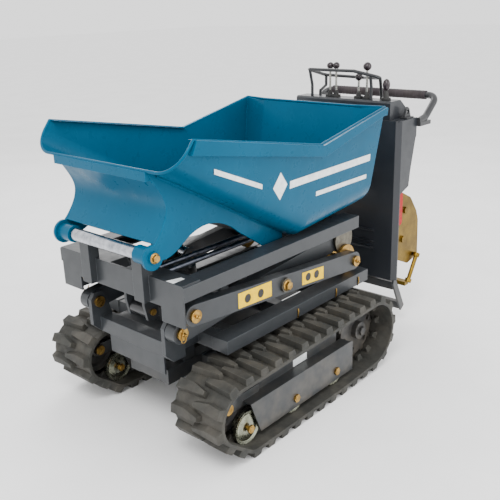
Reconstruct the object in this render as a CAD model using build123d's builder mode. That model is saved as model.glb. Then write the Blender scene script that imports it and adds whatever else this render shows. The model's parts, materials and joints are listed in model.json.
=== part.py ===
from build123d import *
import os
from math import cos, sin, radians, atan2, degrees, hypot

os.makedirs("parts", exist_ok=True)

# Tracked power wheelbarrow. +Z is up, the ground is Z = 0, the skip tips toward -Y,
# the operator stands at +Y and X = 0 is the middle plane. All sizes are millimetres.

# ---------------------------------------------------------------- driving dimensions
track_mid_x = 285
track_width = 180
belt_thickness = 10
lug_height = 18
lugs_per_row = 32
horn_height = 17

idler_y, idler_z, idler_wrap = -551, 152, 77
sprocket_y, sprocket_z, sprocket_wrap = 102, 141, 104
roller_y = [-499, -291, -83]
roller_z, roller_wrap = 78, 50
wheel_gap = 0.4

arm_front_y, arm_rear_y = -604, 142
pin_low_z, pin_high_z = 369, 437
arm_depth = 60
inner_arm_x, outer_arm_x = 189, 244
arm_width = 34
rail_mid_x, rail_width = 238, 60
low_rail_top, high_rail_bottom = 320, 486
rail_height = 40

hinge_y, hinge_z = -670, 601
hinge_tube_radius = 18
gusset_x, gusset_thickness = 190, 8

skip_half_top, skip_half_bottom = 297, 272
skip_wall = 4
lip_y, lip_z = -668, 822
lip_top_y, lip_top_z = -607, 898
floor_y, floor_z = -150, 529
heel_y, heel_z = 193, 558
rim_break_y, rim_break_z = -92, 802
rim_rear_y, rim_rear_z = 249, 869
back_half_width = 191

tower_y, tower_half, tower_depth = 425, 250, 120
tower_top, tower_bottom = 794, 200
deck_top = 858
sheet = 4

centre_y = (arm_front_y + arm_rear_y) / 2
centre_z = (pin_low_z + pin_high_z) / 2


# ---------------------------------------------------------------- helpers
def plate_yz(points, x_mid, thickness, mode=Mode.ADD):
    """A flat plate seen from the side, standing at x_mid."""
    with BuildSketch(Plane.YZ.offset(x_mid)) as outline:
        with BuildLine():
            Polyline(*points, close=True)
        make_face()
    extrude(outline.sketch, amount=thickness / 2, both=True, mode=mode)


def block(x0, x1, y0, y1, z0, z1, mode=Mode.ADD):
    """A rectangular block between two corners."""
    with Locations(((x0 + x1) / 2, (y0 + y1) / 2, (z0 + z1) / 2)):
        Box(x1 - x0, y1 - y0, z1 - z0, mode=mode)


def rod_x(x0, x1, y, z, radius, mode=Mode.ADD):
    """A round bar lying across the machine."""
    with Locations(((x0 + x1) / 2, y, z)):
        Cylinder(radius, x1 - x0, rotation=(0, 90, 0), mode=mode)


def rod_between(start, end, radius, mode=Mode.ADD):
    """A round bar between two points."""
    direction = Vector(*end) - Vector(*start)
    with BuildSketch(Plane(origin=start, z_dir=direction)) as section:
        Circle(radius)
    extrude(section.sketch, amount=direction.length, mode=mode)


def belt_loop(growth):
    """Side outline of the track on a flat sheet, grown outward from the wheel treads."""
    with BuildSketch() as loop:
        with Locations((idler_y, idler_z)):
            Circle(idler_wrap + growth)
        with Locations((sprocket_y, sprocket_z)):
            Circle(sprocket_wrap + growth)
        with Locations((roller_y[0], roller_z), (roller_y[-1], roller_z)):
            Circle(roller_wrap + growth)
        make_hull()
    return loop.sketch


def belt_stations(growth, count, phase, x_mid, inward=False):
    """Planes spaced evenly along the track loop, facing outward or inward."""
    wire = belt_loop(growth).face().outer_wire()
    middle = Vector(0, (idler_y + sprocket_y) / 2, 140)
    planes = []
    for index in range(count):
        distance = wire.length * ((index + phase) % count) / count
        flat_point = wire.position_at(distance, position_mode=PositionMode.LENGTH)
        flat_along = wire.tangent_at(distance, position_mode=PositionMode.LENGTH)
        point = Vector(0, flat_point.X, flat_point.Y)
        normal = Vector(0, -flat_along.Y, flat_along.X)
        if normal.dot(point - middle) < 0:
            normal = normal * -1
        if inward:
            normal = normal * -1
        origin = Vector(x_mid, point.Y, point.Z)
        planes.append(Plane(origin=origin, x_dir=(1, 0, 0), z_dir=normal))
    return planes


def export(builder, name):
    """Name a finished piece and write it."""
    builder.part.label = name
    export_step(builder.part, f"parts/{name}.step")


# ---------------------------------------------------------------- undercarriage frame
with BuildPart() as chassis_frame:
    for side in (-1, 1):
        block(side * 65 - 20, side * 65 + 20, -560, 560, 150, 198)
        for beam_y in (-395, -187):
            block(min(side * 85, side * 264), max(side * 85, side * 264), beam_y - 25, beam_y + 25, 152, 192)
    for beam_y in (-540, -240, 20, 250, 530):
        block(-45, 45, beam_y - 20, beam_y + 20, 152, 196)
    for side in (-1, 1):
        for post_y in (-470, 190):
            block(side * 65 - 18, side * 65 + 18, post_y - 22, post_y + 22, 198, 279)
export(chassis_frame, "chassis_frame")

with BuildPart() as lower_frame:
    for side in (-1, 1):
        x_in, x_out = rail_mid_x - rail_width / 2, rail_mid_x + rail_width / 2
        rail_x0, rail_x1 = sorted((side * x_in, side * x_out))
        block(rail_x0, rail_x1, -495, 212, low_rail_top - rail_height, low_rail_top)
        slot_x0, slot_x1 = sorted((side * (x_in - 1), side * (x_out - 6)))
        block(slot_x0, slot_x1, -430, 160, low_rail_top - rail_height + 6, low_rail_top - 6, mode=Mode.SUBTRACT)
    for tie_y in (-470, 190):
        block(-(rail_mid_x - 30), rail_mid_x - 30, tie_y - 22, tie_y + 22, 279, 318)
    block(-168, 168, -604, -560, 272, 318)
    block(-150, 150, -560, -492, 284, 306)
    for side in (-1, 1):
        cheek_x = side * 161
        plate_yz(
            [(-632, 300), (-632, 380), (-618, 398), (-590, 398), (-576, 380), (-560, 318), (-560, 272), (-604, 272)],
            cheek_x, 14,
        )
    block(-120, 120, -600, -594, 214, 272)
    for side in (-1, 1):
        rod_x(min(side * 150, side * 172), max(side * 150, side * 172), arm_front_y, pin_low_z, 12.0, mode=Mode.SUBTRACT)
export(lower_frame, "lower_frame")

# ---------------------------------------------------------------- tracks
for side, side_name in ((1, "left"), (-1, "right")):
    mid_x = side * track_mid_x

    with BuildPart() as track_frame:
        plate_yz(
            [(-455, 112), (-455, 196), (-400, 206), (-60, 206), (-28, 190), (-28, 112)],
            side * 285, 40,
        )
        cover = [(-491, 150), (-2, 150), (9, 148), (10, 46), (-452, 46)]
        plate_yz(cover, side * 342.5, 5)
        plate_yz(cover, side * 227.5, 5)
        top_x0, top_x1 = sorted((side * 305, side * 340))
        block(top_x0, top_x1, -488, -3, 145, 150)
        top_x0, top_x1 = sorted((side * 230, side * 265))
        block(top_x0, top_x1, -488, -3, 145, 150)
        for fork_x in (260.5, 309.5):
            plate_yz(
                [(-455, 132), (-455, 172), (-543, 172), (-565, 162), (-565, 142), (-543, 132)],
                side * fork_x, 5,
            )
        for pad_x in (262.0, 308.0):
            block(side * pad_x - 4, side * pad_x + 4, -455, -420, 132, 172)
        for wheel_y in roller_y:
            rod_x(side * 342.5 - 10, side * 342.5 + 10, wheel_y, roller_z, 7.0, mode=Mode.SUBTRACT)
            rod_x(side * 227.5 - 10, side * 227.5 + 10, wheel_y, roller_z, 7.0, mode=Mode.SUBTRACT)
        rod_x(side * 285 - 40, side * 285 + 40, idler_y, idler_z, 9.0, mode=Mode.SUBTRACT)
    export(track_frame, f"track_frame_{side_name}")

    with BuildPart() as track_belt:
        with BuildSketch(Plane.YZ.offset(mid_x)) as ring:
            add(belt_loop(belt_thickness))
            add(belt_loop(0), mode=Mode.SUBTRACT)
        extrude(amount=track_width / 2, both=True)
        for row in (-1, 1):
            stations = belt_stations(1, lugs_per_row, 0, mid_x + row * 29, inward=True)
            with BuildPart(mode=Mode.PRIVATE) as horn:
                with BuildSketch():
                    Rectangle(16, 26)
                extrude(amount=horn_height + 1, taper=16)
            with Locations(*stations):
                add(horn.part)
    export(track_belt, f"track_belt_{side_name}")

    with BuildPart() as tread_lugs:
        for row, phase in ((1, 0.0), (-1, 0.5)):
            with BuildPart(mode=Mode.PRIVATE) as lug:
                with BuildSketch():
                    with BuildLine():
                        Polyline((90, -18), (90, 16), (40, 19), (-14, 7), (-14, -11), (44, -15), close=True)
                    make_face()
                    if side * row < 0:
                        mirror(about=Plane.YZ, mode=Mode.REPLACE)
                extrude(amount=lug_height + 3, dir=(0, 0, 1), taper=10)
            with Locations(*belt_stations(belt_thickness - 3, lugs_per_row, phase, mid_x)):
                add(lug.part)
        add(track_belt.part, mode=Mode.SUBTRACT)
        block(-400, 400, -700, 300, -20, 0, mode=Mode.SUBTRACT)
    export(tread_lugs, f"tread_lugs_{side_name}")

    with BuildPart() as sprocket:
        rod_x(mid_x - 11, mid_x + 11, sprocket_y, sprocket_z, 90)
        with BuildSketch(Plane.YZ.offset(mid_x)) as teeth:
            with Locations((sprocket_y, sprocket_z)):
                with PolarLocations(94, 11):
                    Trapezoid(22, 17, 78, rotation=-90)
        extrude(amount=10, both=True)
        rod_x(mid_x - 8 * side - 14, mid_x - 8 * side + 14, sprocket_y, sprocket_z, 58)
        rod_x(min(mid_x, mid_x + side * 30), max(mid_x, mid_x + side * 30), sprocket_y, sprocket_z, 30)
        with BuildSketch(Plane.YZ.offset(mid_x)) as windows:
            with Locations((sprocket_y, sprocket_z)):
                with PolarLocations(73, 6, start_angle=15):
                    Circle(9)
        extrude(amount=40, both=True, mode=Mode.SUBTRACT)
        with BuildSketch(Plane.YZ.offset(mid_x + side * 30)) as bolt_circle:
            with Locations((sprocket_y, sprocket_z)):
                RegularPolygon(15, 6)
        extrude(amount=side * 10)
    export(sprocket, f"sprocket_{side_name}")

    with BuildPart() as idler:
        with BuildSketch(Plane.XZ.offset(-idler_y)) as section:
            with BuildLine():
                Polyline(
                    (mid_x - 16, idler_z + 76.6), (mid_x + 16, idler_z + 76.6), (mid_x + 16, idler_z + 59),
                    (mid_x + 7, idler_z + 53), (mid_x + 7, idler_z + 30), (mid_x + 20, idler_z + 24),
                    (mid_x + 20, idler_z + 9.05), (mid_x - 20, idler_z + 9.05), (mid_x - 20, idler_z + 24),
                    (mid_x - 7, idler_z + 30), (mid_x - 7, idler_z + 53), (mid_x - 16, idler_z + 59),
                    close=True,
                )
            make_face()
        revolve(axis=Axis((mid_x, idler_y, idler_z), (1, 0, 0)), revolution_arc=360)
    export(idler, f"idler_{side_name}")

    for wheel_y, place in zip(roller_y, ("front", "middle", "rear")):
        with BuildPart() as roller:
            with BuildSketch(Plane.XZ.offset(-wheel_y)) as section:
                with BuildLine():
                    Polyline(
                        (mid_x - 53, roller_z + 7.05), (mid_x - 53, roller_z + 22), (mid_x - 49, roller_z + 40),
                        (mid_x - 52, roller_z + 49.6), (mid_x - 42, roller_z + 49.6), (mid_x - 40, roller_z + 30),
                        (mid_x - 18.5, roller_z + 30), (mid_x - 18.5, roller_z + 12), (mid_x + 18.5, roller_z + 12),
                        (mid_x + 18.5, roller_z + 30), (mid_x + 40, roller_z + 30), (mid_x + 42, roller_z + 49.6),
                        (mid_x + 52, roller_z + 49.6),
                        (mid_x + 49, roller_z + 40), (mid_x + 53, roller_z + 22), (mid_x + 53, roller_z + 7.05),
                        close=True,
                    )
                make_face()
            revolve(axis=Axis((mid_x, wheel_y, roller_z), (1, 0, 0)), revolution_arc=360)
        export(roller, f"roller_{place}_{side_name}")

    with BuildPart() as drive_motor:
        rod_x(min(side * 97, side * 176), max(side * 97, side * 176), sprocket_y, sprocket_z, 50)
        rod_x(min(side * 176, side * 190), max(side * 176, side * 190), sprocket_y, sprocket_z, 62)
        rod_x(min(side * 190, side * 262), max(side * 190, side * 262), sprocket_y, sprocket_z, 44)
        block(min(side * 100, side * 150), max(side * 100, side * 150), 80, 124, 180, 206)
        block(min(side * 85, side * 176), max(side * 85, side * 176), 38, 58, 152, 196)
    export(drive_motor, f"drive_motor_{side_name}")

with BuildPart() as wheel_axles:
    for side in (-1, 1):
        for wheel_y in roller_y:
            rod_x(side * 285 - 68, side * 285 + 68, wheel_y, roller_z, 7.0)
            for end in (-1, 1):
                with BuildSketch(Plane.YZ.offset(side * 285 + end * 60)) as head:
                    with Locations((wheel_y, roller_z)):
                        RegularPolygon(13, 6)
                extrude(amount=end * 7)
        rod_x(side * 285 - 36, side * 285 + 36, idler_y, idler_z, 9.0)
        for end in (-1, 1):
            rod_x(side * 285 + end * 31 - 4, side * 285 + end * 31 + 4, idler_y, idler_z, 16)
export(wheel_axles, "wheel_axles")

# ---------------------------------------------------------------- scissor lift
def arm_outline(front_z, rear_z):
    """Side outline of one lift arm on a flat sheet, between its two end pins."""
    length = hypot(arm_rear_y - arm_front_y, rear_z - front_z)
    angle = degrees(atan2(rear_z - front_z, arm_rear_y - arm_front_y))
    with BuildSketch() as outline:
        with Locations(((arm_front_y + arm_rear_y) / 2, (front_z + rear_z) / 2)):
            SlotCenterToCenter(length, arm_depth, rotation=angle)
    return outline.sketch


with BuildPart() as inner_arms:
    for side in (-1, 1):
        with BuildSketch(Plane.YZ.offset(side * inner_arm_x)):
            add(arm_outline(pin_low_z, pin_high_z))
        extrude(amount=arm_width / 2, both=True)
        rod_x(side * inner_arm_x - 20, side * inner_arm_x + 20, arm_front_y, pin_low_z, 12.05, mode=Mode.SUBTRACT)
        rod_x(side * inner_arm_x - 20, side * inner_arm_x + 20, centre_y, centre_z, 15.0, mode=Mode.SUBTRACT)
        rod_x(side * inner_arm_x - 20, side * inner_arm_x + 20, arm_rear_y, pin_high_z, 12.0, mode=Mode.SUBTRACT)
    rod_x(-172, 172, -440, 368, 18)
    rod_x(-172, 172, 20, 426, 18)
    for side in (-1, 1):
        plate_yz(
            [(-458, 372), (-440, 388), (-420, 384), (-330, 290), (-322, 262), (-334, 243), (-360, 243), (-380, 256)],
            side * 34, 10,
        )
        rod_x(side * 34 - 6, side * 34 + 6, -346.7, 265.1, 10.0, mode=Mode.SUBTRACT)
export(inner_arms, "inner_arms")

with BuildPart() as outer_arms:
    for side in (-1, 1):
        with BuildSketch(Plane.YZ.offset(side * outer_arm_x)):
            add(arm_outline(pin_high_z, pin_low_z))
        extrude(amount=arm_width / 2, both=True)
        rod_x(side * outer_arm_x - 20, side * outer_arm_x + 20, arm_front_y, pin_high_z, 12.05, mode=Mode.SUBTRACT)
        rod_x(side * outer_arm_x - 20, side * outer_arm_x + 20, centre_y, centre_z, 15.05, mode=Mode.SUBTRACT)
        rod_x(side * outer_arm_x - 20, side * outer_arm_x + 20, arm_rear_y, pin_low_z, 12.0, mode=Mode.SUBTRACT)
    rod_x(-227, 227, -455, 447, 18)
    for side in (-1, 1):
        plate_yz(
            [(-472, 447), (-470, 462), (-398, 514), (-376, 514), (-366, 500), (-370, 480), (-440, 434), (-460, 432)],
            side * 24, 10,
        )
        rod_x(side * 24 - 6, side * 24 + 6, -386.9, 493.0, 10.0, mode=Mode.SUBTRACT)
export(outer_arms, "outer_arms")

with BuildPart() as frame_pins:
    for side in (-1, 1):
        x0, x1 = sorted((side * 150, side * 212))
        rod_x(x0, x1, arm_front_y, pin_low_z, 12.0)
        x0, x1 = sorted((side * 206.3, side * 214))
        rod_x(x0, x1, arm_front_y, pin_low_z, 18)
        x0, x1 = sorted((side * 146, side * 154))
        rod_x(x0, x1, arm_front_y, pin_low_z, 17)
export(frame_pins, "frame_pins")

with BuildPart() as inner_arm_pins:
    for side in (-1, 1):
        x0, x1 = sorted((side * 170, side * 266))
        rod_x(x0, x1, centre_y, centre_z, 15.0)
        x0, x1 = sorted((side * 261.3, side * 269))
        rod_x(x0, x1, centre_y, centre_z, 22)
        x0, x1 = sorted((side * 170, side * 216.3))
        rod_x(x0, x1, arm_rear_y, pin_high_z, 12.0)
        x0, x1 = sorted((side * 207.5, side * 216))
        rod_x(x0, x1, arm_rear_y, pin_high_z, high_rail_bottom - pin_high_z - 0.4)
export(inner_arm_pins, "inner_arm_pins")

with BuildPart() as outer_arm_pins:
    for side in (-1, 1):
        x0, x1 = sorted((side * 209, side * 266))
        rod_x(x0, x1, arm_rear_y, pin_low_z, 12.0)
        x0, x1 = sorted((side * 261, side * 270))
        rod_x(x0, x1, arm_rear_y, pin_low_z, 18)
        x0, x1 = sorted((side * 217.6, side * 226.4))
        rod_x(x0, x1, arm_rear_y, pin_low_z, pin_low_z - low_rail_top - 0.4)
    rod_x(-209, 209, arm_rear_y, pin_low_z, 16)
export(outer_arm_pins, "outer_arm_pins")

# ---------------------------------------------------------------- top frame
with BuildPart() as top_frame:
    for side in (-1, 1):
        x0, x1 = sorted((side * (rail_mid_x - 30), side * (rail_mid_x + 30)))
        block(x0, x1, -642, 150, high_rail_bottom, high_rail_bottom + rail_height)
        slot0, slot1 = sorted((side * (rail_mid_x - 31), side * (rail_mid_x + 24)))
        block(slot0, slot1, -540, 120, high_rail_bottom + 6, high_rail_bottom + 34, mode=Mode.SUBTRACT)
    block(-262, 262, -642, -636, 455, 530)
    block(-262, 262, -642, -578, 524, 530)
    block(-225, 225, -642, -578, 455, 461)
    block(-34, 34, -636, -570, 450, 535, mode=Mode.SUBTRACT)
    block(-210, 210, 92, 132, high_rail_bottom + 2, high_rail_bottom + 38)
    block(-210, 210, -120, -90, high_rail_bottom + 2, high_rail_bottom + 34)
    for side in (-1, 1):
        x0, x1 = sorted((side * 176, side * 262))
        block(x0, x1, -642, -636, 412, 460)
        ear_x = side * 216.5
        plate_yz(
            [(-642, 486), (-642, 420), (-630, 408), (-584, 408), (-570, 424), (-570, 486)],
            ear_x, 17 - 1.0,
        )
        rod_x(ear_x - 10, ear_x + 10, arm_front_y, pin_high_z, 12.0, mode=Mode.SUBTRACT)
        plate_yz(
            [(-663, 585), (-650, 590), (-628, 560), (-628, 530), (-642, 530), (-642, 458), (-663, 458)],
            side * 114, 40,
        )
        plate_yz(
            [(-640, 470), (-592, 470), (-592, 400), (-582, 352), (-560, 346), (-544, 356), (-540, 384), (-556, 461),
             (-578, 530), (-640, 530)],
            side * 39, 10,
        )
        rod_x(side * 39 - 6, side * 39 + 6, -564.3, 374.4, 10.0, mode=Mode.SUBTRACT)
    rod_x(-134, 134, hinge_y, hinge_z, hinge_tube_radius, mode=Mode.SUBTRACT)
export(top_frame, "top_frame")

with BuildPart() as hinge_tube:
    rod_x(-134, 134, hinge_y, hinge_z, hinge_tube_radius)
    rod_x(-199, 199, hinge_y, hinge_z, 11.0)
export(hinge_tube, "hinge_tube")

with BuildPart() as top_frame_pins:
    for side in (-1, 1):
        x0, x1 = sorted((side * 206, side * 266))
        rod_x(x0, x1, arm_front_y, pin_high_z, 12.0)
        x0, x1 = sorted((side * 261.3, side * 270))
        rod_x(x0, x1, arm_front_y, pin_high_z, 18)
export(top_frame_pins, "top_frame_pins")

with BuildPart() as feed_pipes:
    for pipe_x in (62, 104):
        rod_between((pipe_x, -120, 508), (pipe_x, -636, 508), 8)
export(feed_pipes, "feed_pipes")

# ---------------------------------------------------------------- skip
side_profile = [
    (lip_y, lip_z), (floor_y, floor_z), (heel_y, heel_z), (rim_rear_y, rim_rear_z),
    (rim_break_y, rim_break_z), (lip_top_y, lip_top_z),
]
back_lean = (0, heel_y - rim_rear_y, heel_z - rim_rear_z)

with BuildPart(mode=Mode.PRIVATE) as tub_solid:
    plate_yz(side_profile, 0, 640)
    with BuildSketch(Plane.XZ) as front_view:
        with BuildLine():
            Polyline(
                (-skip_half_bottom, floor_z - 2), (skip_half_bottom, floor_z - 2),
                (skip_half_top, 900), (-skip_half_top, 900), close=True,
            )
        make_face()
    extrude(amount=900, both=True, mode=Mode.INTERSECT)
    with BuildSketch(Plane.XY.offset(rim_rear_z)) as behind_back:
        with BuildLine():
            Polyline(
                (-320, rim_rear_y + 4), (-back_half_width, rim_rear_y - 21), (back_half_width, rim_rear_y - 21),
                (320, rim_rear_y + 4), (320, 330), (-320, 330), close=True,
            )
        make_face()
    extrude(behind_back.sketch, amount=380, dir=back_lean, mode=Mode.SUBTRACT)
    long_edges = tub_solid.edges().filter_by(
        lambda edge: edge.center().Z < 700 and abs(edge.center().X) > 262 and edge.center().Y < 150
    )
    fillet(long_edges, radius=70)

with BuildPart() as skip_tub:
    add(tub_solid.part)
    mouth = skip_tub.faces().filter_by(
        lambda face: face.normal_at().Z > 0.5 and face.center().Z > 780
    )
    pouring_end = skip_tub.faces().filter_by(lambda face: face.center().Y < -600 and face.normal_at().Y < -0.6)
    offset(amount=-skip_wall, openings=mouth + pouring_end)
    with BuildPart(mode=Mode.PRIVATE) as rim_fold:
        for side in (-1, 1):
            plate_yz(
                [(lip_top_y + 4, lip_top_z), (rim_break_y, rim_break_z), (rim_break_y + 7, rim_break_z - 34),
                 (lip_top_y - 14, lip_top_z - 34)],
                side * 290, 32,
            )
            plate_yz(
                [(rim_break_y, rim_break_z), (rim_rear_y, rim_rear_z), (rim_rear_y - 3, rim_rear_z - 20),
                 (rim_break_y + 7, rim_break_z - 34)],
                side * 290, 32,
            )
        with BuildSketch(Plane.XY.offset(rim_rear_z - 4)) as back_fold:
            with BuildLine():
                Polyline(
                    (-302, rim_rear_y - 10), (-back_half_width, rim_rear_y - 26), (back_half_width, rim_rear_y - 26),
                    (302, rim_rear_y - 10), (302, rim_rear_y + 9), (back_half_width, rim_rear_y - 11),
                    (-back_half_width, rim_rear_y - 11), (-302, rim_rear_y + 9), close=True,
                )
            make_face()
        extrude(back_fold.sketch, amount=22, dir=back_lean)
        add(tub_solid.part, mode=Mode.SUBTRACT)
    add(rim_fold.part)
export(skip_tub, "skip_tub")

with BuildPart() as skip_chin:
    for side in (-1, 1):
        with BuildSketch(Plane.YZ.offset(side * gusset_x)) as gusset:
            with BuildLine():
                Spline((-664, 812), (-634, 765), (-616, 718), (-636, 664), (-668, 628))
                Line((-668, 628), (-700, 612))
                ThreePointArc((-700, 612), (-678, 568), (-640, 586))
                Spline((-640, 586), (-607, 590), (-544, 624), (-469, 640), (-398, 619), (-352, 586))
                Polyline((-352, 586), (-283, 540), (-224, 500), (-160, 497), (-160, 560), (-645, 830), (-664, 812))
            make_face()
            with Locations((hinge_y, hinge_z)):
                Circle(33)
        extrude(amount=gusset_thickness / 2, both=True)
    with BuildSketch(Plane.YZ) as chin_section:
        with BuildLine():
            Spline((-664, 806), (-634, 765), (-616, 718), (-636, 664), (-660, 634))
            Line((-660, 634), (-655, 630))
            Spline((-655, 630), (-631, 661), (-610, 718), (-629, 767), (-658, 806))
            Line((-658, 806), (-664, 806))
        make_face()
    extrude(amount=gusset_x, both=True)
    block(-192, 192, -674, -660, 797, 821)
    for side in (-1, 1):
        plate_yz([(-440, 640), (-462, 664), (-462, 720), (-395, 720), (-400, 640)], side * 24, 10)
        rod_x(side * 24 - 6, side * 24 + 6, -427.4, 661.5, 10.0, mode=Mode.SUBTRACT)
    add(tub_solid.part, mode=Mode.SUBTRACT)
    rod_x(-200, 200, hinge_y, hinge_z, 16, mode=Mode.SUBTRACT)
export(skip_chin, "skip_chin")

with BuildPart() as hinge_bushes:
    for side in (-1, 1):
        rod_x(min(side * 138, side * 199), max(side * 138, side * 199), hinge_y, hinge_z, 16)
        rod_x(min(side * 138, side * 186), max(side * 138, side * 186), hinge_y, hinge_z, 24)
        rod_x(min(side * 137, side * 200), max(side * 137, side * 200), hinge_y, hinge_z, 11.05, mode=Mode.SUBTRACT)
export(hinge_bushes, "hinge_bushes")

# ---------------------------------------------------------------- rams
def ram_barrel(base, tip, length, radius, bore, eye_width):
    """Cylinder barrel with its base eye, aimed at the rod eye."""
    direction = (Vector(*tip) - Vector(*base)).normalized()
    start = Vector(*base)
    rod_between(tuple(start + direction * 20), tuple(start + direction * length), radius)
    rod_between(tuple(start + direction * (length - 24)), tuple(start + direction * length), radius + 2)
    rod_x(-eye_width / 2, eye_width / 2, start.Y, start.Z, 21)
    rod_between(tuple(start + direction * 32), tuple(start + direction * (length + 1)), bore, mode=Mode.SUBTRACT)
    rod_x(-eye_width, eye_width, start.Y, start.Z, 10.05, mode=Mode.SUBTRACT)


def ram_rod(base, tip, tail, radius, eye_width):
    """Polished piston rod with its eye."""
    direction = (Vector(*base) - Vector(*tip)).normalized()
    start = Vector(*tip)
    rod_between(tuple(start + direction * 8), tuple(start + direction * tail), radius)
    rod_x(-eye_width / 2, eye_width / 2, start.Y, start.Z, 19)
    rod_x(-eye_width, eye_width, start.Y, start.Z, 10.05, mode=Mode.SUBTRACT)


tip_base, tip_eye = (0, -564.3, 374.4), (0, -427.4, 661.5)
lift_base, lift_eye = (0, -346.7, 265.1), (0, -386.9, 493.0)

with BuildPart() as tip_barrel:
    ram_barrel(tip_base, tip_eye, 265, 25, 13.0, 67.5)
export(tip_barrel, "tip_barrel")

with BuildPart() as tip_rod:
    ram_rod(tip_base, tip_eye, 283, 12.95, 37.5)
export(tip_rod, "tip_rod")

with BuildPart() as lift_barrel:
    ram_barrel(lift_base, lift_eye, 190, 24, 15.0, 57.5)
export(lift_barrel, "lift_barrel")

with BuildPart() as lift_rod:
    ram_rod(lift_base, lift_eye, 196, 14.95, 37.5)
export(lift_rod, "lift_rod")

for pin_name, pin_reach, (pin_x, pin_y, pin_z) in (
    ("tip_ram_base_pin", 50, tip_base), ("tip_ram_eye_pin", 35, tip_eye),
    ("lift_ram_base_pin", 42, lift_base), ("lift_ram_eye_pin", 32, lift_eye),
):
    with BuildPart() as ram_pin:
        rod_x(-pin_reach, pin_reach, pin_y, pin_z, 10.0)
    export(ram_pin, pin_name)

# ---------------------------------------------------------------- tower and engine
with BuildPart() as tower_sheet:
    with BuildSketch(Plane.XY.offset(tower_bottom)) as plan:
        with BuildLine():
            Polyline(
                (-tower_half, 545), (-tower_half, 441), (-234, tower_y), (234, tower_y), (tower_half, 441),
                (tower_half, 545), (tower_half - sheet, 545), (tower_half - sheet, 443), (232, tower_y + sheet),
                (-232, tower_y + sheet), (-tower_half + sheet, 443), (-tower_half + sheet, 545), close=True,
            )
        make_face()
    extrude(amount=tower_top - tower_bottom)
    plate_yz(
        [(446, 150), (446, 530), (503, 550), (512, 607), (540, 720), (560, 760), (560, 150)],
        0, 540, mode=Mode.SUBTRACT,
    )
    block(-244, 244, 431, 541, tower_top - sheet, tower_top)
    for louvre_z in (387, 342, 319):
        plate_yz([(tower_y + 1, louvre_z - 12), (tower_y - 10, louvre_z), (tower_y + 1, louvre_z)], 106, 104)
    for side in (-1, 1):
        block(side * 65 - 22, side * 65 + 22, 420, 450, 150, 204, mode=Mode.SUBTRACT)
export(tower_sheet, "tower_sheet")

with BuildPart() as tower_legs:
    for side in (-1, 1):
        plate_yz([(432, 200), (448, 200), (514, 74), (492, 58), (428, 186)], side * 242, 8)
        block(min(side * 85, side * 238), max(side * 85, side * 238), 436, 462, 160, 190)
    block(-238, 238, 484, 508, 66, 92)
export(tower_legs, "tower_legs")

with BuildPart() as engine_block:
    block(-110, 88, 452, 580, 200, 330)
    block(-70, 50, 470, 560, 330, 470)
    for fin_z in range(348, 470, 14):
        block(-80, 60, 460, 570, fin_z, fin_z + 5)
    block(-60, 40, 478, 552, 470, 500)
    rod_x(88, 94, 500, 300, 50)
    with Locations((-90, 520, 420)):
        Cylinder(36, 120)
    block(-100, -64, 500, 540, 400, 430)
    with Locations((-20, 530, 545)):
        Cylinder(46, 86)
    with Locations((-20, 530, 595)):
        Cylinder(20, 16)
    block(-125, 105, 462, 478, 198, 212)
    block(-125, 105, 552, 568, 198, 212)
export(engine_block, "engine_block")

with BuildPart() as engine_shroud:
    block(94.3, 236, 447, 491, 404, 530)
    fillet(engine_shroud.edges().filter_by(Axis.X), radius=14)
    rod_x(94.3, 150, 520, 330, 62)
    block(94.3, 130, 470, 500, 330, 430)
    with BuildSketch(Plane.YZ.offset(150)) as grille:
        with Locations((520, 330)):
            with PolarLocations(40, 10):
                Rectangle(22, 6)
    extrude(amount=-6, mode=Mode.SUBTRACT)
export(engine_shroud, "engine_shroud")

with BuildPart() as engine_guard:
    with BuildSketch(Plane.YZ.offset(216)) as guard_face:
        with BuildLine():
            Polyline((474, 268), (474, 400), (494, 400), (494, 510), (520, 510), (577, 481), (625, 420), (640, 380))
            Polyline((640, 380), (646, 236), (575, 222), (474, 268))
        make_face()
    extrude(amount=2.5, both=True)
    with BuildSketch(Plane.YZ.offset(218.5)) as guard_edge:
        with BuildLine():
            Polyline((520, 510), (577, 481), (625, 420), (640, 380), (646, 236), (652, 236), (646, 382), (630, 423))
            Polyline((630, 423), (581, 486), (521, 516), (520, 510))
        make_face()
    extrude(amount=-34)
    for bolt_y, bolt_z in ((529, 333), (542, 444)):
        rod_x(213, 226, bolt_y, bolt_z, 13)
    block(150, 216, 480, 488, 282, 300)
export(engine_guard, "engine_guard")

with BuildPart() as guard_stay:
    rod_between((232, 625, 252), (232, 560, 150), 8)
    rod_between((232, 625, 252), (232, 617, 240), 13)
    rod_between((232, 568, 162), (232, 560, 150), 13)
    block(160, 232, 540, 566, 140, 156)
    block(85, 164, 548, 566, 140, 156)
export(guard_stay, "guard_stay")

with BuildPart() as hydraulic_tank:
    block(-238, -132, 450, 560, 300, 520)
    fillet(hydraulic_tank.edges().filter_by(Axis.Z), radius=12)
    with Locations((-185, 505, 530)):
        Cylinder(24, 20)
    block(-236, -136, 456, 556, 204, 298)
export(hydraulic_tank, "hydraulic_tank")

# ---------------------------------------------------------------- console, handlebar, levers
lever_y = 468
lever_table = {
    "left_pair_outer": (-75, lever_y, 970, "small_ball"),
    "left_pair_inner": (-48, lever_y, 971, "small_ball"),
    "centre": (51, lever_y, 934, "ball"),
    "throttle": (86, lever_y, 972, "large_ball"),
    "side": (166, lever_y, 911, "oval"),
}
knob_radius = {"small_ball": 12.8, "ball": 13.5, "large_ball": 15.0}
lever_pivot_z = deck_top + 4

with BuildPart(mode=Mode.PRIVATE) as console_solid:
    plate_yz(
        [(431, tower_top), (431, deck_top - 6), (437, deck_top), (500, deck_top), (541, 826), (541, tower_top)],
        0, 412,
    )

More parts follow.
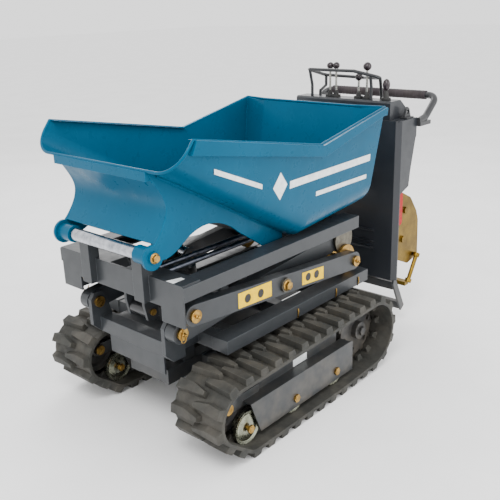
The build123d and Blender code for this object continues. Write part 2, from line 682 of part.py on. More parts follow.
with BuildPart() as console_deck:
    add(console_solid.part)
    block(-200, 200, 437, 535, tower_top, 820, mode=Mode.SUBTRACT)
    for lever_x, base_y, knob_z, shape in lever_table.values():
        block(lever_x - 7, lever_x + 7, lever_y - 14, lever_y + 14, 818, deck_top + 4, mode=Mode.SUBTRACT)
export(console_deck, "console_deck")

with BuildPart() as lever_boots:
    for lever_x, base_y, knob_z, shape in lever_table.values():
        with Locations((lever_x, lever_y, deck_top + 4)):
            Cylinder(17, 8)
        block(lever_x - 7, lever_x + 7, lever_y - 14, lever_y + 14, deck_top - 1, deck_top + 9, mode=Mode.SUBTRACT)
export(lever_boots, "lever_boots")

for lever_name, (lever_x, base_y, knob_z, shape) in lever_table.items():
    with BuildPart() as lever:
        rod_between((lever_x, lever_y, deck_top - 18), (lever_x, lever_y, knob_z - 8), 4.0)
        rod_x(lever_x - 6, lever_x + 6, lever_y, lever_pivot_z - 20, 7)
        with Locations((lever_x, lever_y, knob_z)):
            if shape in knob_radius:
                Sphere(knob_radius[shape])
            else:
                with BuildSketch(Plane.XZ.offset(-lever_y)) as knob_half:
                    with Locations((lever_x, knob_z)):
                        Ellipse(13, 21)
                        with Locations((-20, 0)):
                            Rectangle(40, 60, mode=Mode.SUBTRACT)
                revolve(knob_half.sketch, axis=Axis((lever_x, lever_y, 0), (0, 0, 1)), revolution_arc=360)
    export(lever, f"lever_{lever_name}")

grip_y, grip_z = 687, 854
bar_half = 250
bar_path_points = [
    (-bar_half, 548, 777), (-bar_half, 605, 787), (-bar_half, grip_y, grip_z),
    (bar_half, grip_y, grip_z), (bar_half, 605, 787), (bar_half, 548, 777),
]
with BuildPart() as handlebar_tube:
    with BuildLine() as bar_path:
        FilletPolyline(*bar_path_points, radius=34)
    with BuildSketch(Plane(origin=bar_path.line @ 0, z_dir=bar_path.line % 0)):
        Circle(12.5)
    sweep()
    for side in (-1, 1):
        block(min(side * 236, side * 264), max(side * 236, side * 264), 546, 622, 762, 776)
        block(min(side * 234, side * 246), max(side * 234, side * 246), 500, 560, 762, 789.5)
        block(min(side * 238, side * 262), max(side * 238, side * 262), 545.5, 552, 762, 792)
export(handlebar_tube, "handlebar_tube")

with BuildPart() as handlebar_grip:
    rod_x(-212, 206, grip_y, grip_z, 16)
    rod_x(-220, 220, grip_y, grip_z, 12.5, mode=Mode.SUBTRACT)
export(handlebar_grip, "handlebar_grip")

guard_y, guard_z, guard_rear_y = 430, 958, 530
guard_front_mid = (-48, guard_y, guard_z)
guard_rear_mid = (-53, guard_rear_y, 927)
guard_loops = [
    [guard_front_mid, (53, guard_y, guard_z), (167, 444, 936), (36, guard_rear_y, 925), guard_rear_mid],
    [guard_front_mid, (-150, guard_y, guard_z), (-143, guard_rear_y, 929), guard_rear_mid],
]
guard_legs = [
    [(-142, 446, deck_top), (-142, 446, 901), (-142, guard_y, guard_z)],
    [(-138, 492, deck_top), (-138, 492, 874), (-138, guard_rear_y, 891), (-138, guard_rear_y, 929)],
    [(118, 446, deck_top), (118, 446, 904), (118, 438, 945)],
    [(132, 492, deck_top), (132, 492, 874), (146, 458, 934)],
]
with BuildPart() as lever_guard:
    for loop_points in guard_loops:
        with BuildLine() as loop_path:
            FilletPolyline(*loop_points, radius=12)
        with BuildSketch(Plane(origin=loop_path.line @ 0, z_dir=loop_path.line % 0)) as tube_section:
            Circle(6)
        sweep(sections=tube_section.sketch, path=loop_path.line)
    for leg in guard_legs:
        for start, end in zip(leg, leg[1:]):
            rod_between(start, end, 5.5)
export(lever_guard, "lever_guard")

with BuildPart() as lifting_eyes:
    for side in (-1, 1):
        block(side * 228 - 14, side * 228 + 14, 486, 534, tower_top, tower_top + 5)
        plate_yz(
            [(490, tower_top + 5), (500, tower_top + 32), (510, tower_top + 40), (520, tower_top + 32),
             (530, tower_top + 5)],
            side * 228, 8,
        )
        rod_x(side * 228 - 6, side * 228 + 6, 510, tower_top + 22, 8, mode=Mode.SUBTRACT)
export(lifting_eyes, "lifting_eyes")
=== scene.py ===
import json
import math
import random

import bmesh
import bpy
from mathutils import Matrix, Vector


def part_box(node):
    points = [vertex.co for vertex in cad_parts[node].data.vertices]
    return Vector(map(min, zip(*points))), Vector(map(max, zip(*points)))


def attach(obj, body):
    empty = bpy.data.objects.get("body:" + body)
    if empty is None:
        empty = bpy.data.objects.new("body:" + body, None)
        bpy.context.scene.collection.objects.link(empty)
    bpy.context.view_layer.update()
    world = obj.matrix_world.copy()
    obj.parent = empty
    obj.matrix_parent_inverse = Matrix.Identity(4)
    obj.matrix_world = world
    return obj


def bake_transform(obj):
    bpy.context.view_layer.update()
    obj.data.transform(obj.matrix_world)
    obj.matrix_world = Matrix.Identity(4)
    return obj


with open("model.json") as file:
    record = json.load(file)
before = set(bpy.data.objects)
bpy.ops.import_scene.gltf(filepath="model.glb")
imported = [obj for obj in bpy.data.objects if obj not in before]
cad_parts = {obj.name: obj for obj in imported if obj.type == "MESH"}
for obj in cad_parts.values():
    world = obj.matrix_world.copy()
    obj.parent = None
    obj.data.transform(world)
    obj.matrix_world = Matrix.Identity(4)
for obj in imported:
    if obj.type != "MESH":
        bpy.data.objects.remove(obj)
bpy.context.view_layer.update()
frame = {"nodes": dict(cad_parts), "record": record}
random.seed(7)

MM = 0.001
SIDES = ((1, "left"), (-1, "right"))
slot_of = {part["node"]: part["material_slot"] for part in frame["record"]["subparts"]}
levers = [name for name in sorted(frame["nodes"])
          if name.startswith("lever_") and slot_of[name] == "knob_black"]


# ---------------------------------------------------------------- colours
def srgb(red, green, blue):
    """8-bit screen colour to linear RGBA."""
    channels = []
    for level in (red / 255, green / 255, blue / 255):
        channels.append(((level + 0.055) / 1.055) ** 2.4 if level > 0.04045 else level / 12.92)
    return (*channels, 1.0)


def shade(colour, factor):
    """The colour made darker or lighter."""
    return tuple(min(1.0, c * factor) for c in colour[:3]) + (1.0,)


GREY = srgb(44, 47, 50)
CHARCOAL = srgb(33, 36, 41)
BLUE = srgb(0, 74, 102)
BLUE_SHINE = (0.1, 0.62, 1.0, 1.0)
WHITE = (1.0, 1.0, 1.0, 1.0)
BRASS, BRASS_DARK = srgb(190, 154, 84), srgb(132, 100, 50)
CHROME, CHROME_DARK = srgb(196, 199, 205), srgb(150, 153, 160)
PIPE, PIPE_DARK = srgb(112, 116, 126), srgb(70, 74, 84)
IRON, IRON_DARK = srgb(128, 130, 132), srgb(82, 84, 86)
ROD, ROD_DARK = srgb(196, 194, 186), srgb(120, 118, 112)
KNOB, KNOB_DARK = srgb(44, 33, 38), srgb(26, 20, 23)
PAINT_DUST, RUBBER_DUST = srgb(134, 124, 108), srgb(128, 119, 106)
FLOOR, FLOOR_DARK = srgb(252, 252, 252), srgb(246, 246, 246)


# ---------------------------------------------------------------- materials (lengths in metres)
class Surface:
    """Builds one procedural material in the object's own coordinates."""

    def __init__(self, name):
        self.material = bpy.data.materials.new(name)
        self.material.use_nodes = True
        self.tree = self.material.node_tree
        self.shader = self.tree.nodes["Principled BSDF"]
        self.place = self.node("ShaderNodeTexCoord").outputs["Object"]

    def node(self, kind, **settings):
        """A new shader node; each setting goes to the input of that name, or else to the node itself."""
        made = self.tree.nodes.new(kind)
        for key, value in settings.items():
            if key in made.inputs:
                made.inputs[key].default_value = value
            else:
                setattr(made, key, value)
        return made

    def link(self, source, target):
        self.tree.links.new(source, target)

    def noise(self, scale, detail=4.0, stretch=None):
        made = self.node("ShaderNodeTexNoise", Scale=scale, Detail=detail, Roughness=0.55)
        vector = self.place
        if stretch:
            mapping = self.node("ShaderNodeMapping")
            mapping.inputs["Scale"].default_value = stretch
            self.link(self.place, mapping.inputs["Vector"])
            vector = mapping.outputs["Vector"]
        self.link(vector, made.inputs["Vector"])
        return made.outputs["Fac"]

    def ramp(self, factor, stops):
        """Colours at the given positions of a 0 to 1 factor."""
        made = self.node("ShaderNodeValToRGB")
        band = made.color_ramp
        while len(band.elements) < len(stops):
            band.elements.new(0.5)
        for element, (position, colour) in zip(band.elements, stops):
            element.position = position
            element.color = colour
        self.link(factor, made.inputs["Fac"])
        return made.outputs["Color"]

    def remap(self, factor, low, high, to_low, to_high):
        made = self.node("ShaderNodeMapRange")
        for key, value in (("From Min", low), ("From Max", high), ("To Min", to_low), ("To Max", to_high)):
            made.inputs[key].default_value = value
        self.link(factor, made.inputs["Value"])
        return made.outputs["Result"]

    def math(self, operation, first, second):
        """Clamped arithmetic on two sockets or plain numbers."""
        made = self.node("ShaderNodeMath", operation=operation, use_clamp=True)
        for socket, value in zip(made.inputs, (first, second)):
            if isinstance(value, float):
                socket.default_value = value
            else:
                self.link(value, socket)
        return made.outputs[0]

    def mix(self, factor, first, second):
        """Blends two colours, each a socket or a plain value."""
        made = self.node("ShaderNodeMix", data_type="RGBA")
        for socket, value in ((made.inputs[0], factor), (made.inputs[6], first), (made.inputs[7], second)):
            if isinstance(value, (tuple, float)):
                socket.default_value = value
            else:
                self.link(value, socket)
        return made.outputs[2]

    def height(self):
        split = self.node("ShaderNodeSeparateXYZ")
        self.link(self.place, split.inputs["Vector"])
        return split.outputs["Z"]

    def edges(self, radius, strength):
        """A softened normal, and a factor that is 0 on open faces and rises to strength along edges."""
        rounded = self.node("ShaderNodeBevel", samples=4)
        rounded.inputs["Radius"].default_value = radius
        flat = self.node("ShaderNodeNewGeometry").outputs["Normal"]
        dot = self.node("ShaderNodeVectorMath", operation="DOT_PRODUCT")
        self.link(rounded.outputs["Normal"], dot.inputs[0])
        self.link(flat, dot.inputs[1])
        return rounded.outputs["Normal"], self.remap(dot.outputs["Value"], 0.995, 0.86, 0.0, strength)

    def bump(self, factor, strength, distance, normal=None):
        made = self.node("ShaderNodeBump", Strength=strength, Distance=distance)
        self.link(factor, made.inputs["Height"])
        if normal is not None:
            self.link(normal, made.inputs["Normal"])
        return made.outputs["Normal"]


def paint(name, colour, rough=0.32, coat=0.25, edge_glint=0.35, dust=0.0, dust_top=0.25, peel=0.06, glint_tone=1.9,
          shine=0.4, tint=WHITE):
    """Sprayed enamel: slight tone drift, orange peel, edges painted brighter as a highlight and, if asked,
    dust low down.
    """
    s = Surface(name)
    normal, edge = s.edges(0.0022, edge_glint)
    tone = s.ramp(s.noise(5.0, 3.0), [(0.3, shade(colour, 0.86)), (0.7, shade(colour, 1.12))])
    fine = s.ramp(s.noise(90.0, 6.0), [(0.35, shade(colour, 0.94)), (0.65, shade(colour, 1.05))])
    base = s.mix(0.4, tone, fine)
    # painted highlight: edges lightened towards a brighter copy of the colour, broken up by noise
    glint_mask = s.math("MULTIPLY", edge, s.remap(s.noise(45.0, 5.0), 0.35, 0.6, 0.45, 1.0))
    base = s.mix(glint_mask, base, shade(colour, glint_tone))
    if dust:
        low = s.remap(s.height(), 0.0, dust_top, dust, 0.0)
        patch = s.math("MULTIPLY", low, s.remap(s.noise(22.0, 8.0), 0.38, 0.66, 0.15, 1.0))
        base = s.mix(patch, base, PAINT_DUST)
    s.link(base, s.shader.inputs["Base Color"])
    s.link(s.remap(s.noise(30.0, 5.0), 0.3, 0.7, rough - 0.07, rough + 0.11), s.shader.inputs["Roughness"])
    s.shader.inputs["Coat Weight"].default_value = coat
    s.shader.inputs["Coat Roughness"].default_value = 0.12
    s.shader.inputs["Specular IOR Level"].default_value = shine
    s.shader.inputs["Specular Tint"].default_value = tint
    s.link(s.bump(s.noise(520.0, 2.0), peel, 0.0006, normal), s.shader.inputs["Normal"])
    return s.material


def metal(name, colour, second, rough=0.3, stretch=(1.0, 1.0, 1.0), scale=60.0, scratch=0.08):
    """Bare or plated metal with uneven tone and fine marks, drawn out along one axis by stretch."""
    s = Surface(name)
    normal, edge = s.edges(0.0012, 0.5)
    base = s.ramp(s.noise(scale, 6.0), [(0.3, second), (0.68, colour)])
    # painted highlight: edges lightened to a brighter copy of the colour
    base = s.mix(edge, base, shade(colour, 1.25))
    s.link(base, s.shader.inputs["Base Color"])
    s.shader.inputs["Metallic"].default_value = 1.0
    marks = s.noise(260.0, 3.0, stretch)
    s.link(s.remap(marks, 0.3, 0.7, rough - 0.08, rough + 0.14), s.shader.inputs["Roughness"])
    s.link(s.bump(marks, scratch, 0.0004, normal), s.shader.inputs["Normal"])
    return s.material


def rubber(name, colour, rough=0.72, grain=340.0, strength=0.22, dust=0.35):
    """Moulded rubber: matt, pitted, with pale dust patches and edges painted paler as a highlight."""
    s = Surface(name)
    normal, edge = s.edges(0.003, 0.55)
    base = s.ramp(s.noise(28.0, 8.0), [(0.3, shade(colour, 0.62)), (0.7, shade(colour, 1.3))])
    # painted highlight: edges lightened to a much paler copy of the colour
    base = s.mix(edge, base, shade(colour, 2.6))
    patch = s.math("MULTIPLY", s.remap(s.noise(12.0, 8.0), 0.42, 0.68, 0.0, 1.0), dust)
    base = s.mix(patch, base, RUBBER_DUST)
    s.link(base, s.shader.inputs["Base Color"])
    s.link(s.remap(s.noise(60.0, 4.0), 0.3, 0.7, rough - 0.1, rough + 0.14), s.shader.inputs["Roughness"])
    s.link(s.bump(s.noise(grain, 5.0), strength, 0.0012, normal), s.shader.inputs["Normal"])
    return s.material


def film(name, colour, rough, shine=0.5):
    """Smooth printed film, slightly uneven in tone."""
    s = Surface(name)
    s.shader.inputs["Specular IOR Level"].default_value = shine
    normal, edge = s.edges(0.0012, 0.25)
    base = s.ramp(s.noise(40.0, 4.0), [(0.3, shade(colour, 0.85)), (0.7, shade(colour, 1.2))])
    # painted highlight: edges lightened to a paler copy of the colour
    s.link(s.mix(edge, base, shade(colour, 1.8)), s.shader.inputs["Base Color"])
    s.link(s.remap(s.noise(80.0, 4.0), 0.3, 0.7, rough - 0.06, rough + 0.1), s.shader.inputs["Roughness"])
    s.link(s.bump(s.noise(700.0, 2.0), 0.08, 0.0004, normal), s.shader.inputs["Normal"])
    return s.material


def lever_finish(name, knob_bottom):
    """Zinc rod below, dark moulded knob above one height."""
    s = Surface(name)
    top = s.remap(s.height(), knob_bottom, knob_bottom + 0.0006, 0.0, 1.0)
    rod = s.ramp(s.noise(120.0, 5.0), [(0.3, ROD_DARK), (0.7, ROD)])
    knob = s.ramp(s.noise(30.0, 4.0), [(0.3, KNOB_DARK), (0.7, KNOB)])
    s.link(s.mix(top, rod, knob), s.shader.inputs["Base Color"])
    s.link(s.remap(top, 0.0, 1.0, 0.95, 0.0), s.shader.inputs["Metallic"])
    s.link(s.remap(s.noise(90.0, 4.0), 0.3, 0.7, 0.2, 0.34), s.shader.inputs["Roughness"])
    s.link(s.bump(s.noise(420.0, 3.0), 0.06, 0.0004), s.shader.inputs["Normal"])
    return s.material


finish = {
    # frame_grey and skip_blue get a strong painted highlight along their edges
    "frame_grey": paint("frame_grey", GREY, rough=0.36, coat=0.1, edge_glint=0.8, dust=0.3, dust_top=0.24,
                        glint_tone=3.6),
    "tower_dark": paint("tower_dark", CHARCOAL, rough=0.36, edge_glint=0.3),
    "skip_blue": paint("skip_blue", BLUE, rough=0.3, coat=0.0, edge_glint=0.5, shine=0.3, tint=BLUE_SHINE,
                       glint_tone=3.2),
    "track_rubber": rubber("track_rubber", srgb(42, 42, 38), dust=0.16),
    "wheel_black": paint("wheel_black", srgb(42, 43, 45), rough=0.45, coat=0.05, dust=0.45, dust_top=0.26),
    "zinc_yellow": metal("zinc_yellow", BRASS, BRASS_DARK, rough=0.3),
    "chrome_bar": metal("chrome_bar", CHROME, CHROME_DARK, rough=0.2, stretch=(0.1, 1.0, 1.0)),
    "bright_pipe": metal("bright_pipe", PIPE, PIPE_DARK, rough=0.34, stretch=(1.0, 0.1, 1.0)),
    "ram_black": paint("ram_black", srgb(34, 35, 37), rough=0.3),
    "motor_grey": paint("motor_grey", srgb(66, 68, 71), rough=0.5, coat=0.0, dust=0.3, dust_top=0.24,
                        peel=0.3),
    "engine_iron": metal("engine_iron", IRON, IRON_DARK, rough=0.5, scale=35.0, scratch=0.3),
    "engine_red": paint("engine_red", srgb(168, 4, 8), rough=0.3, coat=0.05, shine=0.15),
    "tank_black": paint("tank_black", srgb(44, 45, 48), rough=0.4),
    "bar_black": paint("bar_black", srgb(38, 39, 41), rough=0.34, edge_glint=0.4, peel=0.12),
    "foam_black": rubber("foam_black", srgb(46, 40, 44), rough=0.86, grain=900.0, strength=0.4, dust=0.08),
    "boot_rubber": rubber("boot_rubber", srgb(30, 30, 30), rough=0.6, strength=0.1, dust=0.1),
}
roller_zinc = metal("roller_zinc", srgb(176, 178, 160), srgb(118, 120, 102), rough=0.24, scale=24.0)
guard_zinc = metal("guard_zinc", srgb(138, 112, 44), srgb(92, 72, 26), rough=0.36, scale=18.0)
roller_steel = metal("roller_steel", srgb(120, 116, 104), srgb(84, 80, 72), rough=0.42)
yellow_film = film("yellow_film", srgb(246, 196, 0), rough=0.4, shine=0.08)
dark_print = film("dark_print", srgb(26, 26, 26), rough=0.45)
white_film = film("white_film", srgb(226, 230, 230), rough=0.3)

# parts whose plating differs from the rest of their slot
own_finish = {"engine_guard": guard_zinc, "guard_stay": guard_zinc, "inner_arm_pins": roller_steel}

# how far a knob reaches down from the lever's top, in metres
LONG_KNOBS = {"lever_side": 0.042, "lever_throttle": 0.030}
KNOB_LENGTH = 0.026


def finish_of(name):
    """The finish of one CAD node."""
    if name in levers:
        _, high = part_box(name)
        return lever_finish(f"{name}_finish", high[2] - LONG_KNOBS.get(name, KNOB_LENGTH))
    if name.startswith("roller_"):
        return roller_zinc
    return own_finish.get(name) or finish[slot_of[name]]


for node_name, node_object in frame["nodes"].items():
    node_finish = finish_of(node_name)
    for holder in node_object.material_slots:
        holder.material = node_finish


# ---------------------------------------------------------------- piece builders (all sizes in mm)
def settle(piece, body, slot, material=None, smooth=True):
    """Gives a new piece its body, slot and finish; a piece that bends at a joint gets no body here."""
    if body:
        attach(piece, body)
    piece.data.materials.clear()
    piece.data.materials.append(material or finish[slot])
    if smooth:
        for face in piece.data.polygons:
            face.use_smooth = True
    return piece


def mesh_object(name, shape):
    """Turns a finished bmesh into an object in the scene."""
    data = bpy.data.meshes.new(name)
    shape.normal_update()
    shape.to_mesh(data)
    shape.free()
    piece = bpy.data.objects.new(name, data)
    bpy.context.scene.collection.objects.link(piece)
    return piece


def slab(name, corners, push, body, slot, material):
    """A thin plate through the given corner points, thickened along push."""
    shape = bmesh.new()
    near = [shape.verts.new(Vector(corner) * MM) for corner in corners]
    far = [shape.verts.new((Vector(corner) + Vector(push)) * MM) for corner in corners]
    shape.faces.new(near)
    shape.faces.new(far[::-1])
    for i in range(len(near)):
        j = (i + 1) % len(near)
        shape.faces.new((near[i], far[i], far[j], near[j]))
    bmesh.ops.recalc_face_normals(shape, faces=shape.faces)
    return settle(mesh_object(name, shape), body, slot, material, smooth=False)


def lathe(name, profile, centre, axis, body, slot, steps=32):
    """Turns (radius, distance) pairs about an axis through centre."""
    shape = bmesh.new()
    turn = Vector((0, 0, 1)).rotation_difference(Vector(axis)).to_matrix().to_4x4()
    rings = []
    for radius, along in profile:
        ring = []
        for k in range(steps):
            angle = 2 * math.pi * k / steps
            point = Vector((radius * math.cos(angle), radius * math.sin(angle), along))
            ring.append(shape.verts.new((turn @ point + Vector(centre)) * MM))
        rings.append(ring)
    for lower, upper in zip(rings, rings[1:]):
        for k in range(steps):
            n = (k + 1) % steps
            shape.faces.new((lower[k], lower[n], upper[n], upper[k]))
    shape.faces.new(rings[0][::-1])
    shape.faces.new(rings[-1])
    bmesh.ops.recalc_face_normals(shape, faces=shape.faces)
    return settle(mesh_object(name, shape), body, slot)


def hex_bolt(name, centre, axis, across, body):
    """Washer and chamfered hexagon head."""
    r = across / 2
    thick = 2.0
    washer = [(r * 0.4, 0), (r * 1.42, 0), (r * 1.46, 0.6), (r * 1.42, thick), (r * 0.4, thick)]
    lathe(f"{name}_washer", washer, centre, axis, body, "zinc_yellow")
    head_at = Vector(centre) + Vector(axis).normalized() * thick
    head = [(r * 0.5, 0), (r * 1.1, 0), (r * 1.12, r * 0.72), (r * 0.98, r * 0.86), (r * 0.4, r * 0.88)]
    piece = lathe(f"{name}_head", head, head_at, axis, body, "zinc_yellow", steps=6)
    for face in piece.data.polygons:
        face.use_smooth = False


def tube(name, points, radius, body, slot, smooth=False):
    """A bead or wire, straight from point to point or, when smooth, a curve led by the points."""
    data = bpy.data.curves.new(name, "CURVE")
    data.dimensions = "3D"
    data.bevel_depth, data.bevel_resolution = radius * MM, 4
    data.use_fill_caps = True
    line = data.splines.new("NURBS" if smooth else "POLY")
    line.points.add(len(points) - 1)
    for point, place in zip(line.points, points):
        point.co = (*(Vector(place) * MM), 1.0)
    if smooth:
        line.order_u, line.use_endpoint_u = 4, True
    line_object = bpy.data.objects.new(f"{name}_line", data)
    bpy.context.scene.collection.objects.link(line_object)
    drawn = line_object.evaluated_get(bpy.context.evaluated_depsgraph_get())
    piece = bpy.data.objects.new(name, bpy.data.meshes.new_from_object(drawn))
    bpy.data.objects.remove(line_object)
    bpy.context.scene.collection.objects.link(piece)
    return settle(piece, body, slot)


# ---------------------------------------------------------------- skip: rolled edges and welds
SIDE_LOW, SIDE_HIGH = (272, 527), (297, 900)  # x and z at the foot and the top of a side


def side_x(z):
    """Outer face of the skip side at height z."""
    return SIDE_LOW[0] + (z - SIDE_LOW[1]) * (SIDE_HIGH[0] - SIDE_LOW[0]) / (SIDE_HIGH[1] - SIDE_LOW[1])


LIP, LIP_TOP, BREAK, REAR = (-668, 822), (-607, 898), (-92, 802), (249, 869)  # y and z along the rim
BACK_X, BACK_Y, BACK_Z = 191, 229, 869  # where the rim turns across the back
BEAD, WELD = 4.2, 3.2  # radii
BEAD_INSET = 1.0
CORNER, CORNER_OUT = 70.0, 3.0  # radius of the lip corner, and how far it reaches past side_x
CORNER_X = side_x(LIP[1]) - CORNER + CORNER_OUT
CORNER_TURN, CORNER_STEPS = 87, 10  # degrees
SEAM_X, SEAM_DROP = 194.6, 1
SEAM = ((-640, 806), (-560, 762), (-480, 717), (-400, 671), (-320, 626), (-240, 581), (-165, 539))
WOBBLE = 1


def mouth(x, rise):
    """A point on the open mouth of the skip, rise mm up from the lip."""
    share = rise / math.dist(LIP, LIP_TOP)
    return (x, LIP[0] + (LIP_TOP[0] - LIP[0]) * share, LIP[1] + (LIP_TOP[1] - LIP[1]) * share)


for sign, label in SIDES:
    turns = [math.radians(-90 + CORNER_TURN * k / CORNER_STEPS) for k in range(CORNER_STEPS + 1)]
    rim = [mouth(sign * (CORNER_X + CORNER * math.cos(a)), CORNER * (1 + math.sin(a))) for a in turns]
    rim += [(sign * (side_x(z) - BEAD_INSET), y, z) for y, z in (LIP_TOP, BREAK, REAR)]
    rim.append((sign * BACK_X, BACK_Y, BACK_Z))
    tube(f"skip_rim_bead_{label}", rim, BEAD, "skip", "skip_blue")
    seam = []
    for y, z in SEAM:
        uneven_y = y + random.uniform(-WOBBLE, WOBBLE)
        uneven_z = z - SEAM_DROP + random.uniform(-WOBBLE, WOBBLE)
        seam.append((sign * SEAM_X, uneven_y, uneven_z))
    tube(f"skip_weld_{label}", seam, WELD, "skip", "skip_blue", smooth=True)
tube("skip_rim_bead_back", [(BACK_X, BACK_Y, BACK_Z), (-BACK_X, BACK_Y, BACK_Z)], BEAD, "skip", "skip_blue")
tube("skip_lip_bead", [mouth(-CORNER_X, 0), mouth(CORNER_X, 0)], BEAD, "skip", "skip_blue")

# ---------------------------------------------------------------- skip: plain markings on the +X side
MARKINGS = {
    "marking_long": ((-232, 700), (182, 706), (182, 728), (-232, 722)),
    "marking_short": ((-104, 650), (168, 650), (168, 664), (-104, 664)),
    "marking_front": ((-537, 802), (-352, 724), (-352, 738), (-537, 816)),
    "marking_diamond": ((-275, 676), (-244, 716), (-275, 756), (-306, 716)),
}
MARKING_LIFT = 0.4
MARKING_PUSH = (0.5, 0, -0.03)
for name, outline in MARKINGS.items():
    corners = [(side_x(z) + MARKING_LIFT, y, z) for y, z in outline]
    slab(name, corners, MARKING_PUSH, "skip", "skip_blue", white_film)


# ---------------------------------------------------------------- scissor arms: plates, bolts, grease nipples
def disc(x, y, z, radius, steps=20):
    """Points round a circle that faces sideways."""
    angles = [2 * math.pi * k / steps for k in range(steps)]
    return [(x, y + radius * math.cos(a), z + radius * math.sin(a)) for a in angles]


ARM_FACE = 261.2
ARM_PLATES = {
    "front": ((-437, 397), (-294, 388), (-294, 435), (-437, 442)),
    "rear": ((-148, 374), (-38, 363), (-38, 404), (-148, 414)),
}
PLATE, PRINT, PRINT_LIFT = 0.6, 0.3, 0.7
MARK_SHARES = (0.27, 0.66)  # places of the two round marks along a plate
MARK_RISE, MARK_RADIUS = 22, 13
CENTRE_BOLT, HINGE_BOLT = (269, -231, 403), (199, -670, 601)
NIPPLE = ((5.5, 0), (5.5, 3), (3.2, 3.4), (3.2, 7), (4.2, 8), (4.0, 10), (1.6, 12))
NIPPLES = (
    ("front_high", 270, -604, 437, "top_frame"),
    ("rear_low", 270, 142, 369, "outer_arms"),
    ("front_low", 214, -604, 369, "chassis"),
)

for sign, label in SIDES:
    face_x, out = sign * ARM_FACE, (sign, 0, 0)
    for place, outline in ARM_PLATES.items():
        corners = [(face_x, y, z) for y, z in outline]
        slab(f"arm_plate_{place}_{label}", corners, (sign * PLATE, 0, 0), "outer_arms", "frame_grey",
             yellow_film)
        (y0, z0), (y1, z1) = outline[0], outline[1]
        for k, share in enumerate(MARK_SHARES):
            centre = y0 + (y1 - y0) * share, z0 + (z1 - z0) * share + MARK_RISE
            ring = disc(face_x + sign * PRINT_LIFT, *centre, MARK_RADIUS)
            slab(f"arm_mark_{place}_{k}_{label}", ring, (sign * PRINT, 0, 0), "outer_arms", "frame_grey",
                 dark_print)
    hex_bolt(f"centre_bolt_{label}", (sign * CENTRE_BOLT[0], *CENTRE_BOLT[1:]), out, 24, "inner_arms")
    for name, x, y, z, body in NIPPLES:
        lathe(f"nipple_{name}_{label}", NIPPLE, (sign * x, y, z), out, body, "zinc_yellow", steps=16)
    hex_bolt(f"hinge_bolt_{label}", (sign * HINGE_BOLT[0], *HINGE_BOLT[1:]), out, 20, "top_frame")

# ---------------------------------------------------------------- spring clips on the low front pivots
CLIP_X = 215.2
CLIP = ((-612, 398), (-606, 380), (-592, 360), (-602, 342), (-616, 348), (-612, 364), (-600, 386),
        (-592, 402))
CLIP_WIRE = 1.6
for sign, label in SIDES:
    route = [(sign * CLIP_X, y, z) for y, z in CLIP]
    tube(f"spring_clip_{label}", route, CLIP_WIRE, "chassis", "zinc_yellow", smooth=True)

# ---------------------------------------------------------------- blank plate on the beam
BEAM_TOP = 530.3
BEAM_PLATE = ((200, -640), (228, -640), (228, -600), (214, -600))
slab("beam_blank_plate", [(x, y, BEAM_TOP) for x, y in BEAM_PLATE], (0, 0, 0.5), "top_frame", "frame_grey",
     white_film)

# ---------------------------------------------------------------- track sides: blank plate, rail clips
BOX_FACE = 305.2
BOX_PLATE = ((-254, 152), (-186, 152), (-186, 184), (-254, 184))
HOOK = ((262, 281), (266, 276), (270, 284), (271, 300), (269, 309))
HOOK_PLACES = (-180, 22, 152)
HOOK_WIRE = 2.4
for sign, label in SIDES:
    corners = [(sign * BOX_FACE, y, z) for y, z in BOX_PLATE]
    slab(f"track_plate_{label}", corners, (sign * PLATE, 0, 0), "chassis", "frame_grey", white_film)
    for k, y in enumerate(HOOK_PLACES):
        route = [(sign * x, y, z) for x, z in HOOK]
        tube(f"rail_clip_{k}_{label}", route, HOOK_WIRE, "chassis", "zinc_yellow", smooth=True)

# ---------------------------------------------------------------- lever bellows
CONSOLE_TOP = 862.2
LEVER_Y = 468
FOLDS, FOLD_RISE, FOLD_TAPER, FOLD_DEPTH = 5, 3.6, 1.5, 3.0


def bellows_profile(stretch):
    """Folds that narrow upwards, from the boot to the lever rod."""
    profile = [(13.2, 0)]
    for k in range(FOLDS):
        size = 13.0 - FOLD_TAPER * k
        profile += [(size, 1.5 + FOLD_RISE * k), (size - FOLD_DEPTH, 3.4 + FOLD_RISE * k)]
    profile.append((4.6, 21))
    return [(radius, height * stretch) for radius, height in profile]


for node_name in levers:
    low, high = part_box(node_name)
    x, y = (low[0] + high[0]) / 2 / MM, LEVER_Y
    stretch = 1.7 if node_name == "lever_side" else 1.0
    bellows = lathe(f"bellows_{node_name[6:]}", bellows_profile(stretch), (x, y, CONSOLE_TOP), (0, 0, 1),
                    None, "boot_rubber", steps=28)
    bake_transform(bellows)

# ---------------------------------------------------------------- grip ribs
RIBS, RIB_PITCH, FIRST_RIB = 27, 15.4, -208
GRIP_Y, GRIP_Z = 687, 854
RIB = ((15.9, -1.6), (16.5, -0.8), (16.5, 0.8), (15.9, 1.6))
for k in range(RIBS):
    place = (FIRST_RIB + RIB_PITCH * k, GRIP_Y, GRIP_Z)
    lathe(f"grip_rib_{k:02d}", RIB, place, (1, 0, 0), "chassis", "foam_black", steps=28)

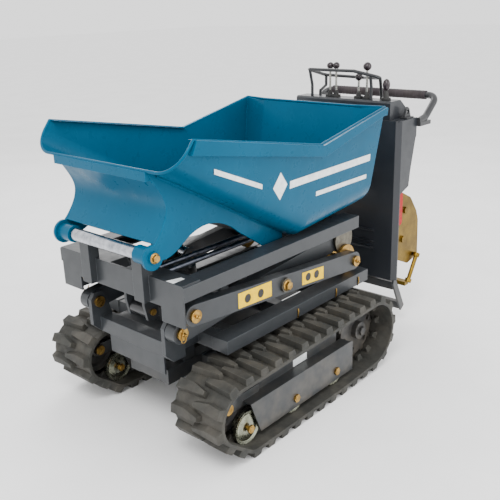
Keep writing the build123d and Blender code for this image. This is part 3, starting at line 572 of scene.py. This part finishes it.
# ---------------------------------------------------------------- floor and world (metres)
shape = bmesh.new()
bmesh.ops.create_grid(shape, x_segments=2, y_segments=2, size=30.0)
floor = mesh_object("floor", shape)
ground = Surface("floor_paint")
ground.link(ground.ramp(ground.noise(3.0, 3.0), [(0.3, FLOOR_DARK), (0.7, FLOOR)]),
            ground.shader.inputs["Base Color"])
ground.link(ground.remap(ground.noise(40.0), 0.3, 0.7, 0.75, 0.9), ground.shader.inputs["Roughness"])
floor.data.materials.append(ground.material)

world = bpy.data.worlds.new("studio")
bpy.context.scene.world = world
world.use_nodes = True
world.node_tree.nodes["Background"].inputs["Color"].default_value = WHITE
world.node_tree.nodes["Background"].inputs["Strength"].default_value = 1.7


# ---------------------------------------------------------------- lights
def soft_light(name, place, aim, size, watts):
    """A round area lamp pointed at aim."""
    lamp = bpy.data.lights.new(name, "AREA")
    lamp.shape, lamp.size, lamp.energy = "DISK", size, watts
    holder = bpy.data.objects.new(name, lamp)
    holder.location = place
    holder.rotation_euler = (Vector(aim) - Vector(place)).to_track_quat("-Z", "Y").to_euler()
    bpy.context.scene.collection.objects.link(holder)


soft_light("key", (1.2, -2.0, 3.2), (0, -0.1, 0.45), 1.4, 84)
soft_light("fill", (2.8, 0.6, 1.6), (0, 0, 0.4), 2.0, 34)
soft_light("back", (-2.2, 1.8, 2.6), (0, 0, 0.6), 2.0, 45)

# ---------------------------------------------------------------- camera
eye, target = Vector((1.4910, -1.7418, 1.1956)), Vector((0.0608, -0.1600, 0.4584))
roll = math.radians(-1.90)
forward = (target - eye).normalized()
right = forward.cross(Vector((0, 0, 1))).normalized()
up = right.cross(forward)
right, up = right * math.cos(roll) + up * math.sin(roll), up * math.cos(roll) - right * math.sin(roll)
lens = bpy.data.cameras.new("camera")
lens.lens, lens.sensor_width = 50.75, 36.0
lens.shift_y = -0.0047
camera = bpy.data.objects.new("camera", lens)
camera.matrix_world = Matrix((
    (right.x, up.x, -forward.x, eye.x),
    (right.y, up.y, -forward.y, eye.y),
    (right.z, up.z, -forward.z, eye.z),
    (0, 0, 0, 1),
))
bpy.context.scene.collection.objects.link(camera)
bpy.context.scene.camera = camera
